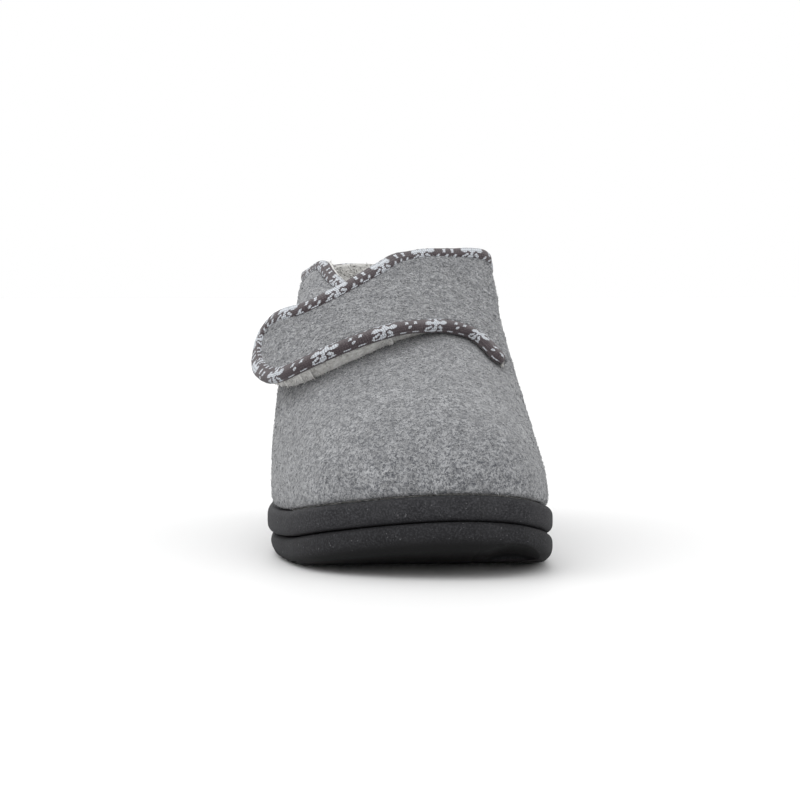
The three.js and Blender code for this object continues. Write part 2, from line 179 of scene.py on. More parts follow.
def select_faces(piece, test):
    """Selects the faces that pass the test, and goes into edit mode."""
    take_up(piece)
    bpy.context.tool_settings.mesh_select_mode = (False, False, True)
    bpy.ops.object.mode_set(mode="EDIT")
    bpy.ops.mesh.select_all(action="DESELECT")
    body = bmesh.from_edit_mesh(piece.data)
    for face in body.faces:
        if test(face.calc_center_median(), face.normal):
            face.select_set(True)
    bmesh.update_edit_mesh(piece.data)


def keep_skin(piece, seed, facing, sharpness):
    """Keeps the smooth skin that holds the face nearest to seed and facing that way, and deletes the rest."""
    nearest = min((f for f in piece.data.polygons if f.normal.dot(facing) > 0.5),
                  key=lambda f: (f.center - seed).length)
    centre = nearest.center.copy()
    select_faces(piece, lambda c, n: (c - centre).length < WELD)
    bpy.ops.mesh.faces_select_linked_flat(sharpness=sharpness)
    bpy.ops.mesh.select_all(action="INVERT")
    bpy.ops.mesh.delete(type="FACE")
    bpy.ops.object.mode_set(mode="OBJECT")
    bpy.context.tool_settings.mesh_select_mode = (True, False, False)


def apply(piece, kind, **settings):
    take_up(piece)
    modifier = piece.modifiers.new(kind, kind)
    for key, value in settings.items():
        setattr(modifier, key, value)
    bpy.ops.object.modifier_apply(modifier=modifier.name)


def subdivide(piece, levels):
    apply(piece, "SUBSURF", levels=levels, render_levels=levels)


def points_of(piece):
    points = np.empty(len(piece.data.vertices) * 3)
    piece.data.vertices.foreach_get("co", points)
    return points.reshape(-1, 3)


def normals_of(piece):
    normals = np.empty(len(piece.data.vertices) * 3)
    piece.data.vertices.foreach_get("normal", normals)
    return normals.reshape(-1, 3)


def move_points(piece, points):
    piece.data.vertices.foreach_set("co", np.asarray(points).ravel())
    piece.data.update()


def tree_of(piece):
    return BVHTree.FromPolygons([v.co for v in piece.data.vertices],
                                [f.vertices[:] for f in piece.data.polygons])


def lumps(points, size, seed):
    """Soft noise between -1 and 1 at each point, its waves about size long."""
    shift = Vector((seed * 7.3, seed * 3.1, seed * 5.7))
    return np.array([noise.noise(Vector(p) / size + shift) for p in points])


def finish(piece, slot, *nodes):
    take_up(piece)
    bpy.ops.object.shade_smooth()
    put_down()
    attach(piece, ROOT)
    if nodes:
        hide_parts(*nodes)
    print(piece.name, len(piece.data.polygons), "faces")


# %% [markdown]
# The felt upper is one wall of pressed wool, three millimetres thick. It could be shaped again from a
# lofted sheet, but the solid already has the last's form, so a copy of it is subdivided until its facets
# are gone. Then soft dents are pressed in, listed in a table, and two sizes of small lumps over
# the whole: pressed felt is never quite even. Near the sole both fade out, so that the joint stays closed.

# %% The felt upper
DENTS = [
    {"name": "trough under the flap, outer side", "at": (-14, -62, 84), "wide": (17, 14, 9), "deep": 0.9},
    {"name": "trough beside the toe, inner side", "at": (27, -90, 62), "wide": (8, 16, 20), "deep": 0.8},
    {"name": "flat on the toe", "at": (-2, -124, 46), "wide": (22, 12, 12), "deep": 0.5},
    {"name": "ridge over the outer toe", "at": (-26, -104, 58), "wide": (12, 14, 16), "deep": -0.6},
    {"name": "ankle crease, outer side", "at": (-36, 62, 66), "wide": (12, 13, 9), "deep": 1.0},
    {"name": "ankle crease, inner side", "at": (41, 58, 64), "wide": (12, 12, 9), "deep": 0.9},
    {"name": "heel hollow", "at": (3, 127, 72), "wide": (18, 12, 12), "deep": 0.8},
    {"name": "waist hollow, outer side", "at": (-44, 12, 48), "wide": (12, 26, 12), "deep": 0.7},
]
FELT_LUMPS = [(9 * MM, 0.22 * MM), (4 * MM, 0.12 * MM)]
STILL_BELOW = 30 * MM
FADE = 12 * MM


def press_dents(piece, dents):
    points = points_of(piece)
    normals = normals_of(piece)
    depth = np.zeros(len(points))
    for dent in dents:
        away = (points - np.array(dent["at"]) * MM) / (np.array(dent["wide"]) * MM)
        depth += dent["deep"] * MM * np.exp(-(away ** 2).sum(1))
    free = np.clip((points[:, 2] - STILL_BELOW) / FADE, 0, 1)
    for size, height in FELT_LUMPS:
        depth += height * lumps(points, size, 1)
    move_points(piece, points - normals * (depth * free)[:, None])


felt_upper = working_copy("upper", "felt_upper")
subdivide(felt_upper, 2)
press_dents(felt_upper, DENTS)
finish(felt_upper, "upper", "upper")

# %% [markdown]
# The sole is two soft foam bands, one on the other. A band could be a bevelled primitive, but the solids
# already hold the foot's outline and the toe spring. Both are closed, so a copy subdivides cleanly. In the
# outsole the grooves and the notch are cut into the tread: their edges get a crease first and stay sharp.

# %% The sole's two bands
SHARP = math.radians(38)


def crease_sharp_edges(piece):
    take_up(piece)
    bpy.context.tool_settings.mesh_select_mode = (False, True, False)
    bpy.ops.object.mode_set(mode="EDIT")
    bpy.ops.mesh.select_all(action="DESELECT")
    bpy.ops.mesh.edges_select_sharp(sharpness=SHARP)
    bpy.ops.transform.edge_crease(value=1)
    bpy.ops.object.mode_set(mode="OBJECT")
    bpy.context.tool_settings.mesh_select_mode = (True, False, False)


midsole_band = working_copy("midsole", "midsole_band")
subdivide(midsole_band, 2)
finish(midsole_band, "midsole", "midsole")

outsole_band = working_copy("outsole", "outsole_band", quads=False)
take_up(outsole_band)
bpy.ops.object.mode_set(mode="EDIT")
bpy.ops.mesh.select_all(action="SELECT")
bpy.ops.mesh.dissolve_limited(angle_limit=math.radians(1))
bpy.ops.object.mode_set(mode="OBJECT")
crease_sharp_edges(outsole_band)
subdivide(outsole_band, 2)
finish(outsole_band, "outsole", "outsole")

# %% [markdown]
# The flap is felt outside and thick pile inside, one over the other. Its solid is both together, so the
# outer skin of a copy is kept, and each layer is that skin with its own thickness: a weight for each point
# says how thick, because the flap grows out of the inner quarter and is thin there. The depth at each point
# is measured by a ray through the solid.

# %% The flap's felt and its pile
FELT = 3 * MM
FELT_SHARE = 0.62
PILE_SHARE = 0.93
THINNEST = 1 * MM
DEEPEST = 10 * MM
BETWEEN_LAYERS = 0.1 * MM
SKIN_TURN = math.radians(42)
CREASES = [
    {"name": "hollow over the instep", "at": (2, -60, 96), "wide": (16, 14, 9), "deep": 0.9},
    {"name": "swell before the ankle", "at": (26, -36, 96), "wide": (10, 20, 16), "deep": -0.7},
    {"name": "dip at the outer bend", "at": (-34, -44, 84), "wide": (9, 12, 16), "deep": 0.8},
    {"name": "long trough to the corner", "at": (14, -44, 106), "wide": (7, 16, 10), "deep": 0.6},
]


def weigh(piece, name, weights):
    group = piece.vertex_groups.new(name=name)
    for i, weight in enumerate(weights):
        group.add([i], float(weight), "REPLACE")
    return group.name


def depth_through(piece, solid_tree, longest):
    """How far each point's inward ray goes before it leaves the solid."""
    depths = []
    for point, normal in zip(points_of(piece), normals_of(piece)):
        start = Vector(point) - Vector(normal) * 0.05 * MM
        hit = solid_tree.ray_cast(start, -Vector(normal), longest)
        depths.append(hit[3] if hit[0] is not None else np.nan)
    depths = np.array(depths)
    known = np.where(~np.isnan(depths))[0]
    tree = KDTree(len(known))
    for i in known:
        tree.insert(piece.data.vertices[int(i)].co, int(i))
    tree.balance()
    for i in np.where(np.isnan(depths))[0]:
        near = tree.find_n(piece.data.vertices[int(i)].co, 3)
        depths[i] = np.mean([depths[j] for _, j, _ in near])
    return depths


flap_felt = working_copy("wrap_flap", "flap_felt")
flap_tree = tree_of(flap_felt)
keep_skin(flap_felt, Vector((0, -70, 95)) * MM, Vector((0, -0.6, 0.8)), SKIN_TURN)
subdivide(flap_felt, 2)
flap_depth = np.clip(depth_through(flap_felt, flap_tree, 14 * MM), THINNEST, DEEPEST)
flap_skin = duplicate(flap_felt, "flap_skin")
press_dents(flap_felt, CREASES)
felt_depth = np.minimum(FELT, flap_depth * FELT_SHARE)
flap_pile = duplicate(flap_felt, "flap_pile")
group = weigh(flap_felt, "thickness", felt_depth / FELT)
apply(flap_felt, "SOLIDIFY", thickness=FELT, offset=-1, vertex_group=group, use_even_offset=False)
pile_depth = (flap_depth - felt_depth) * PILE_SHARE
sunk = normals_of(flap_pile) * (felt_depth + BETWEEN_LAYERS)[:, None]
move_points(flap_pile, points_of(flap_pile) - sunk)
group = weigh(flap_pile, "thickness", pile_depth / pile_depth.max())
apply(flap_pile, "SOLIDIFY", thickness=float(pile_depth.max()), offset=-1, vertex_group=group,
      use_even_offset=False)
finish(flap_felt, "wrap_flap", "wrap_flap")
finish(flap_pile, "insole", "wrap_flap")

# %% [markdown]
# The edges are bound with a knitted tape that is folded over the felt. A bevelled curve would twist the
# pattern, so the tape is laid stitch by stitch as a grid: it follows the felt's own edge, its section is
# measured where the solid binding is cut across, and each knot of the grid knows its stitch and its row.

# %% The path of a felt edge
STITCH = 0.92 * MM
STITCH_STEPS = 2


def edge_loops(piece):
    """The open edges of a skin, as ordered lists of point numbers."""
    body = bmesh.new()
    body.from_mesh(piece.data)
    body.verts.ensure_lookup_table()
    left = {v.index for v in body.verts if v.is_boundary}
    loops = []
    while left:
        start = body.verts[min(left)]
        loop = [start.index]
        left.discard(start.index)
        here = start
        while True:
            onward = [e.other_vert(here) for e in here.link_edges if e.is_boundary]
            onward = [v for v in onward if v.index in left]
            if not onward:
                break
            here = min(onward, key=lambda v: v.index)
            left.discard(here.index)
            loop.append(here.index)
        loops.append(loop)
    body.free()
    return loops


def even_path(points, normals, step, soften):
    """Points at even steps along a line, softened over a short length, with the normals beside them."""
    def spread(points, normals):
        run = np.concatenate([[0], np.cumsum(np.linalg.norm(np.diff(points, axis=0), axis=1))])
        at = np.linspace(0, run[-1], int(run[-1] / step) + 1)
        return [np.stack([np.interp(at, run, values[:, k]) for k in range(3)], -1)
                for values in (points, normals)]

    even, facing = spread(np.array(points), np.array(normals))
    reach = int(soften / step)
    weights = np.exp(-np.linspace(-2, 2, 2 * reach + 1) ** 2)
    weights /= weights.sum()

    def soft(values):
        before = 2 * values[0] - values[reach:0:-1]
        after = 2 * values[-1] - values[-2:-reach - 2:-1]
        padded = np.concatenate([before, values, after])
        return np.stack([np.convolve(padded[:, k], weights, "valid") for k in range(3)], -1)

    even, facing = spread(soft(even), soft(facing))
    along = np.gradient(even, axis=0)
    along /= np.linalg.norm(along, axis=1)[:, None]
    facing -= along * (facing * along).sum(1)[:, None]
    facing /= np.linalg.norm(facing, axis=1)[:, None]
    return even, along, facing


def cut_across(node, point, along, out, facing, reach=11 * MM):
    """The box of a solid's section in the plane across a path: its reach outwards and its reach upwards."""
    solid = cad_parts[node]
    points = points_of(solid)
    edges = np.empty(len(solid.data.edges) * 2, dtype=int)
    solid.data.edges.foreach_get("vertices", edges)
    a, b = points[edges.reshape(-1, 2)[:, 0]], points[edges.reshape(-1, 2)[:, 1]]
    da, db = (a - point) @ along, (b - point) @ along
    crossing = (da * db) < 0
    share = (da / (da - db))[crossing][:, None]
    met = a[crossing] * (1 - share) + b[crossing] * share - point
    met = met[np.linalg.norm(met, axis=1) < reach]
    if len(met) < 4:
        return None
    return [(met @ out).min(), (met @ out).max(), (met @ facing).min(), (met @ facing).max()]


print("a stitch is", round(STITCH / MM, 2), "mm long")

# %% [markdown]
# The tape's pattern is knitted in with white yarn: snowflakes, dots between them, and a row of dashes along
# the edge. A picture could be wrapped around the tape, but a chart is how a knitter keeps it: each row of
# characters is a row of stitches, with X for white. The small repeat is written from the photo.

# %% The tape's chart, two marks to a stitch
SNOWFLAKE = [
    ".........XXX.........",
    "........XXXXX........",
    "..XX....XXXXX....XX..",
    "..XXXX..XXXXX..XXXX..",
    "....XXX..XXX..XXX....",
    ".....XX..XXX..XX.....",
    ".........XXX.........",
    ".XXXX...XXXXX...XXXX.",
    "XXXXXXXXXXXXXXXXXXXXX",
    "XXXXXXXXXX.XXXXXXXXXX",
    "XXXXXXXXXXXXXXXXXXXXX",
    ".XXXX...XXXXX...XXXX.",
    ".........XXX.........",
    ".....XX..XXX..XX.....",
    "....XXX..XXX..XXX....",
    "..XXXX..XXXXX..XXXX..",
    "..XX....XXXXX....XX..",
    "........XXXXX........",
    ".........XXX.........",
]
DOTS = [
    ".XXX.....XXX.....XXX.",
    ".XXX.....XXX.....XXX.",
    ".XXX.....XXX.....XXX.",
    ".....................",
    ".....................",
    ".....XXX.....XXX.....",
    ".....XXX.....XXX.....",
    ".....XXX.....XXX.....",
    ".....................",
    ".....................",
    ".........XXX.........",
    ".........XXX.........",
    ".........XXX.........",
]
REPEAT = 48
DOTS_AT = 24
DOTS_FROM = -7
DASH_ROW = 8
DASH_EVERY = 12
DASH_LONG = 6
SLANT = 0.5


def is_white(across, row):
    """Whether the chart has white yarn there. Rows count from the middle of the snowflakes."""
    across = across % REPEAT
    for chart, first, top in ((SNOWFLAKE, 0, -9), (DOTS, DOTS_AT, DOTS_FROM)):
        if 0 <= across - first < len(chart[0]) and 0 <= row - top < len(chart):
            if chart[row - top][across - first] == "X":
                return True
    return abs(row) == DASH_ROW and across % DASH_EVERY < DASH_LONG


print("white marks in one repeat:", sum(is_white(i, j) for i in range(REPEAT) for j in range(-9, 10)))

# %% [markdown]
# The tape wraps the edge like a rolled hem. At each step of the path its section is laid as a ring of
# marks, and the rings are joined by faces. White yarn lies a little higher than the dark ground.

# %% Laying the tape
SECTION_ROWS = 19
SECTION_STARTS = math.radians(168)
PUFF = 3
STEPS_A_CUT = 6
CUTS_SOFTENED = 31
STEPS_TO_CLOSE = 5
SWELL = 0.03
SWELL_SIZE = 6 * MM
YARN_RAISED = 0.13 * MM


def lay_tape(name, node, path, lie):
    """Carries the tape's section along a path. For each share of the path, lie says on which row the
    snowflakes' middle lies, at which mark of the chart the tape begins, how much of the solid's width it
    has, how far it stands out, and how far it laps over the felt."""
    even, along, facing, out = path
    coarse = np.arange(0, len(even), STEPS_A_CUT)
    cuts = []
    for i in coarse:
        cut = cut_across(node, even[i], along[i], out[i], facing[i])
        cuts.append(cut if cut else [np.nan] * 4)
    cuts = np.array(cuts)
    for k in range(4):
        known = ~np.isnan(cuts[:, k])
        cuts[:, k] = np.interp(coarse, coarse[known], cuts[known, k])
    cuts = np.stack([np.interp(np.arange(len(even)), coarse, cuts[:, k]) for k in range(4)], -1)
    weights = np.ones(CUTS_SOFTENED) / CUTS_SOFTENED
    cuts = np.pad(cuts, ((CUTS_SOFTENED // 2, CUTS_SOFTENED // 2), (0, 0)), mode="edge")
    cuts = np.stack([np.convolve(cuts[:, k], weights, "valid") for k in range(4)], -1)
    around = SECTION_ROWS * STITCH_STEPS
    turn = SECTION_STARTS - np.arange(around) / around * 2 * math.pi
    power = 2 / PUFF
    wide = np.sign(np.cos(turn)) * np.abs(np.cos(turn)) ** power
    high = np.sign(np.sin(turn)) * np.abs(np.sin(turn)) ** power
    swell = 1 + SWELL * lumps(even, SWELL_SIZE, 3)
    points, white, stitch_of, row_of = [], [], [], []
    for i in range(len(even)):
        low_o, high_o, low_f, high_f = cuts[i]
        row_shift, start, width, bulge, over = lie(i / len(even))
        low_o -= over
        high_o *= width
        high_f += bulge
        ends = min(i, len(even) - 1 - i)
        close = min(1, math.sqrt((ends + 0.4) / STEPS_TO_CLOSE))
        centre = even[i] + out[i] * (low_o + high_o) / 2 + facing[i] * (low_f + high_f) / 2
        across = out[i] * (high_o - low_o) / 2 * swell[i] * close
        rising = facing[i] * (high_f - low_f) / 2 * swell[i] * close
        for j in range(around):
            row = j - row_shift
            points.append(centre + across * wide[j] + rising * high[j])
            white.append(1.0 if is_white(round(start + i - SLANT * row), round(row)) else 0.0)
            stitch_of.append(i / STITCH_STEPS)
            row_of.append(j / STITCH_STEPS)
    count = len(even)
    i, j = np.meshgrid(np.arange(count - 1), np.arange(around), indexing="ij")
    k = (j + 1) % around
    corners = [i * around + j, i * around + k, (i + 1) * around + k, (i + 1) * around + j]
    faces = np.stack(corners, -1).reshape(-1, 4)
    faces = faces.tolist() + [list(range(around))[::-1], list(range((count - 1) * around, count * around))]
    mesh = bpy.data.meshes.new(name)
    mesh.from_pydata([Vector(p) for p in points], [], faces)
    piece = new_piece(name, mesh)
    for key, values in (("white", white), ("stitch", stitch_of), ("row", row_of)):
        layer = mesh.attributes.new(key, "FLOAT", "POINT")
        layer.data.foreach_set("value", np.array(values, dtype=np.float32))
    take_up(piece)
    bpy.ops.object.mode_set(mode="EDIT")
    bpy.ops.mesh.select_all(action="SELECT")
    bpy.ops.mesh.normals_make_consistent(inside=False)
    bpy.ops.object.mode_set(mode="OBJECT")
    white = np.array(white)
    move_points(piece, points_of(piece) + normals_of(piece) * (white * YARN_RAISED)[:, None])
    return piece


# %% The flap's tape
def flap_path():
    points, normals = points_of(flap_skin), normals_of(flap_skin)
    loop = max(edge_loops(flap_skin), key=len)
    p = points[loop]
    ahead = np.roll(p, -3, axis=0) - p
    behind = p - np.roll(p, 3, axis=0)
    cosine = (ahead * behind).sum(1) / np.linalg.norm(ahead, axis=1) / np.linalg.norm(behind, axis=1)
    turning = np.degrees(np.arccos(np.clip(cosine, -1, 1)))
    inner = p[:, 0] > 0
    low = max((i for i in range(len(loop)) if inner[i] and p[i, 2] < 80 * MM), key=lambda i: turning[i])
    high = max((i for i in range(len(loop)) if inner[i] and p[i, 2] > 90 * MM and p[i, 1] > -20 * MM),
               key=lambda i: turning[i])
    print("corners of the root:", np.round(p[low] / MM, 1), np.round(p[high] / MM, 1))
    forward = [(low + k) % len(loop) for k in range((high - low) % len(loop) + 1)]
    backward = [(low - k) % len(loop) for k in range((low - high) % len(loop) + 1)]
    order = max(forward, backward, key=lambda o: np.linalg.norm(np.diff(p[o], axis=0), axis=1).sum())
    loop = np.array(loop)[order]
    even, along, facing = even_path(points[loop], normals[loop], STITCH / STITCH_STEPS, 4 * MM)
    return even, along, facing


def ramp(share, low, high):
    return min(1, max(0, (share - low) / (high - low)))


def hill(share, rise, fall):
    return ramp(share, *rise) * (1 - ramp(share, *fall))


UPPER_EDGE = (0.4, 0.5)
TIP = ((0.38, 0.44), (0.54, 0.6))
ACROSS_COLLAR = ((0.56, 0.62), (0.76, 0.84))
LAST_CORNER = (0.92, 0.97)


def flap_lie(share):
    """On the lower edge the snowflakes lie near the felt, on the upper one further out. From the tip on
    the tape laps further over the felt, it is puffed where it crosses the collar, and it stands out at the
    last corner."""
    upper = ramp(share, *UPPER_EDGE)
    tip = hill(share, *TIP)
    width = 1 - 0.1 * upper - 0.2 * ramp(share, *ACROSS_COLLAR[1])
    bulge = 0.6 * upper + 0.5 * tip + 1.1 * hill(share, *ACROSS_COLLAR) + 0.9 * ramp(share, *LAST_CORNER)
    over = 0.8 + 1.3 * upper + 0.8 * tip
    return 11 - 2 * upper, 26 + 18 * ramp(share, 0.38, 0.6), width, bulge * MM, over * MM


def collar_lie(share):
    """The tape is narrower behind the front edge, and stands out at its end."""
    return 11, 34, 1 - 0.14 * ramp(share, 0.15, 0.25), 2.6 * MM * ramp(share, 0.86, 0.95), 0.8 * MM


def with_outward(path, at, sense):
    """Adds the direction away from the felt: at one place of the path it points up (1) or down (-1)."""
    out = np.cross(path[1], path[2])
    return *path, out * np.sign(out[at][2]) * sense


path = flap_path()
path = with_outward(path, path[0][:, 2].argmin(), -1)
print("flap edge:", round(len(path[0]) * STITCH / STITCH_STEPS / MM), "mm")
binding_flap_knit = lay_tape("binding_flap_knit", "binding_flap", path, flap_lie)
finish(binding_flap_knit, "binding_flap", "binding_flap")

# %% The collar's tape
BOUND_WITHIN = 5.2 * MM


def collar_path():
    skin = working_copy("upper", "upper_skin")
    keep_skin(skin, Vector((0, -118, 50)) * MM, Vector((0, -1, 0)), math.radians(60))
    subdivide(skin, 2)
    points, normals = points_of(skin), normals_of(skin)
    loop = max(edge_loops(skin), key=lambda l: points[l][:, 2].mean())
    bound = points_of(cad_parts["binding_collar"])
    tree = KDTree(len(bound))
    for i, p in enumerate(bound):
        tree.insert(p, i)
    tree.balance()
    near = np.array([tree.find(Vector(points[i]))[2] < BOUND_WITHIN for i in loop])
    start = next(i for i in range(len(loop)) if near[i] and not near[i - 1])
    order = []
    for k in range(len(loop)):
        i = (start + k) % len(loop)
        if not near[i]:
            break
        order.append(loop[i])
    bpy.data.objects.remove(skin)
    print("collar edge from", np.round(points[order[0]] / MM, 1), "to", np.round(points[order[-1]] / MM, 1))
    return even_path(points[order], normals[order], STITCH / STITCH_STEPS, 3 * MM)


path = collar_path()
if np.cross(path[1], path[2])[len(path[1]) // 2][2] < 0:
    path = tuple(values[::-1] * sign for values, sign in zip(path, (1, -1, 1)))
path = with_outward(path, len(path[0]) // 2, 1)
binding_collar_knit = lay_tape("binding_collar_knit", "binding_collar", path, collar_lie)
finish(binding_collar_knit, "binding_collar", "binding_collar")
bpy.data.objects.remove(flap_skin)

# %% [markdown]
# The lining is off-white pile fleece. Modelling every hair would be too much, and a texture alone looks
# flat at the collar, so both ways are joined: a lumpy sheet that follows the inside of the felt, and
# thousands of short tapered locks that stand on it where the eye can reach. Each lock is a closed spike
# of a few faces, and all of them are one mesh.

# %% The lining's sheet and the footbed
LINING_AT_RIM = 3.4 * MM
LINING_BELOW = 4.3 * MM
LINING_TUCK = 9 * MM
LINING_OVER_EDGE = 4.4 * MM
LINING_LUMP = 0.6 * MM
COLLAR_FRONT = (-2 * MM, 10 * MM)
SORTED_ALONG = Vector((0.37, 0.59, 0.72))
footbed_tree = tree_of(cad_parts["insole"])


def above_footbed(centre):
    hit = footbed_tree.ray_cast(Vector((centre.x, centre.y, 80 * MM)), Vector((0, 0, -1)))
    if hit[0] is not None:
        return centre.z - hit[0].z
    return centre.z - footbed_tree.find_nearest(centre)[0].z


def top_loop(piece):
    points = points_of(piece)
    return max(edge_loops(piece), key=lambda loop: points[loop][:, 2].mean())


def raise_rim(piece):
    """Extrudes the sheet's upper edge, so that its pile stands before the tape around the collar. The
    operator numbers its new faces by chance, so all is sorted by place, to be the same in every run."""
    rim = set(top_loop(piece))
    take_up(piece)
    bpy.context.tool_settings.mesh_select_mode = (False, True, False)
    bpy.ops.object.mode_set(mode="EDIT")
    bpy.ops.mesh.select_all(action="DESELECT")
    body = bmesh.from_edit_mesh(piece.data)
    body.verts.ensure_lookup_table()
    for edge in body.edges:
        edge.select_set(edge.is_boundary and edge.verts[0].index in rim)
    bmesh.update_edit_mesh(piece.data)
    bpy.ops.mesh.extrude_edges_move()
    body = bmesh.from_edit_mesh(piece.data)
    for vertex in body.verts:
        if vertex.select:
            share = (vertex.co.y - COLLAR_FRONT[0]) / (COLLAR_FRONT[1] - COLLAR_FRONT[0])
            vertex.co.z += LINING_OVER_EDGE * min(1, max(0.02, share))
    body.verts.sort(key=lambda vertex: vertex.co.dot(SORTED_ALONG))
    body.edges.sort(key=lambda edge: (edge.verts[0].co + edge.verts[1].co).dot(SORTED_ALONG))
    body.faces.sort(key=lambda face: face.calc_center_median().dot(SORTED_ALONG))
    bmesh.update_edit_mesh(piece.data)
    bpy.ops.object.mode_set(mode="OBJECT")
    bpy.context.tool_settings.mesh_select_mode = (True, False, False)


lining = working_copy("upper", "lining")
keep_skin(lining, Vector((0, -118, 50)) * MM, Vector((0, 1, 0)), math.radians(60))
select_faces(lining, lambda c, n: above_footbed(c) < -3.5 * MM)
bpy.ops.mesh.delete(type="FACE")
bpy.ops.object.mode_set(mode="OBJECT")
raise_rim(lining)
subdivide(lining, 2)
rim_points = points_of(lining)[top_loop(lining)]
rim_tree = KDTree(len(rim_points))
for i, p in enumerate(rim_points):
    rim_tree.insert(p, i)
rim_tree.balance()
points, normals = points_of(lining), normals_of(lining)
if (normals * (np.array([4, 60, 60]) * MM - points)).sum() < 0:
    normals = -normals
below_rim = np.array([rim_tree.find(Vector(p))[2] for p in points])
fullness = np.clip((below_rim - 3 * MM) / LINING_TUCK, 0, 1) ** 0.7
inwards = LINING_AT_RIM + (LINING_BELOW - LINING_AT_RIM) * fullness
inwards += LINING_LUMP * lumps(points, 5 * MM, 4) * (0.4 + 0.6 * fullness)
move_points(lining, points + normals * inwards[:, None])
group = weigh(lining, "thickness", 0.25 + 0.75 * fullness)
apply(lining, "SOLIDIFY", thickness=LINING_BELOW * 0.85, offset=-1, vertex_group=group, use_even_offset=False)
finish(lining, "insole")

footbed = working_copy("insole", "footbed")
subdivide(footbed, 3)
points, normals = points_of(footbed), normals_of(footbed)
up = np.clip(normals[:, 2], 0, 1)
move_points(footbed, points + normals * (0.5 * MM * up * lumps(points, 6 * MM, 5))[:, None])
finish(footbed, "insole", "insole")


# %% [markdown]
# Pile and loose wool are thousands of small shapes. A hair system would do it too, but it isn't a mesh, so
# each shape is built here as a few triangles at a place drawn by chance, evenly over the faces. The draws
# start from a fixed number, so that every run gives the same slipper.

# %% Scattering
WHIRL_SEED = 7
noise.seed_set(WHIRL_SEED)


def mesh_of(name, points, triangles):
    mesh = bpy.data.meshes.new(name)
    mesh.vertices.add(len(points))
    mesh.vertices.foreach_set("co", np.asarray(points, dtype=np.float32).ravel())
    mesh.loops.add(3 * len(triangles))
    mesh.loops.foreach_set("vertex_index", np.asarray(triangles, dtype=np.int32).ravel())
    mesh.polygons.add(len(triangles))
    mesh.polygons.foreach_set("loop_start", np.arange(0, 3 * len(triangles), 3, dtype=np.int32))
    mesh.update(calc_edges=True)
    mesh.validate()
    return mesh


def scatter(piece, count, seed, allowed=None):
    """Places spread evenly over the faces of a piece that the test allows, each with its normal."""
    mesh = piece.data
    mesh.calc_loop_triangles()
    corners = np.empty(len(mesh.loop_triangles) * 3, dtype=np.int32)
    mesh.loop_triangles.foreach_get("vertices", corners)
    corners = corners.reshape(-1, 3)
    points, normals = points_of(piece), normals_of(piece)
    a, b, c = (points[corners[:, k]] for k in range(3))
    cross = np.cross(b - a, c - a)
    area = np.linalg.norm(cross, axis=1) / 2
    flat = cross / np.maximum(2 * area, 1e-12)[:, None]
    if allowed is not None:
        area = area * allowed((a + b + c) / 3, flat)
    draw = np.random.default_rng(seed)
    chosen = draw.choice(len(area), size=count, p=area / area.sum())
    u, v = draw.random(count), draw.random(count)
    over = u + v > 1
    u[over], v[over] = 1 - u[over], 1 - v[over]
    weights = np.stack([1 - u - v, u, v], -1)[:, :, None]
    place = (points[corners[chosen]] * weights).sum(1)
    normal = (normals[corners[chosen]] * weights).sum(1)
    normal /= np.linalg.norm(normal, axis=1)[:, None]
    return place, normal, draw


def frames(normal, draw):
    """Two directions along the surface for each normal, turned by chance."""
    helper = np.where(np.abs(normal[:, 2:3]) < 0.9, [[0.0, 0, 1]], [[1.0, 0, 0]])
    side = np.cross(normal, helper)
    side /= np.linalg.norm(side, axis=1)[:, None]
    other = np.cross(normal, side)
    turn = draw.random(len(normal)) * 2 * np.pi
    cos, sin = np.cos(turn)[:, None], np.sin(turn)[:, None]
    return side * cos + other * sin, other * cos - side * sin


def tone_of(mesh, tones, per_piece, heights=None):
    layer = mesh.attributes.new("tone", "FLOAT", "POINT")
    layer.data.foreach_set("value", np.repeat(tones, per_piece).astype(np.float32))
    if heights is not None:
        layer = mesh.attributes.new("height", "FLOAT", "POINT")
        layer.data.foreach_set("value", np.tile(heights, len(tones)).astype(np.float32))


def flecks(name, piece, count, seed, long, thick, rise, allowed=None):
    """Loose wool: closed slivers with a point at each end and a bend between, lying on the felt."""
    place, normal, draw = scatter(piece, count, seed, allowed)
    along, across = frames(normal, draw)
    length = long * (0.5 + draw.random(count))[:, None]
    width = thick * (0.6 + 0.8 * draw.random(count))[:, None]
    lift = rise * (0.25 + draw.random(count) ** 2)[:, None]
    bend = (draw.random(count)[:, None] - 0.5) * 0.5 * length
    middle = place + normal * lift * 0.6 + across * bend
    tail = place - along * length / 2 - normal * thick * 0.4
    tip = place + along * length / 2 + normal * lift * (draw.random(count)[:, None] ** 2)
    ring = [middle + across * width / 2, middle - across * width / 4 + normal * width / 2,
            middle - across * width / 4 - normal * width / 2]
    points = np.stack([tail, *ring, tip], 1).reshape(-1, 3)
    sides = np.array([[0, 2, 1], [0, 3, 2], [0, 1, 3], [4, 1, 2], [4, 2, 3], [4, 3, 1]])
    triangles = (np.arange(count)[:, None, None] * 5 + sides).reshape(-1, 3)
    mesh = mesh_of(name, points, triangles)
    tone_of(mesh, draw.random(count), 5)
    return new_piece(name, mesh)


LOCK_STOPS = [(0.0, 1.0), (0.4, 0.85), (0.75, 0.5)]


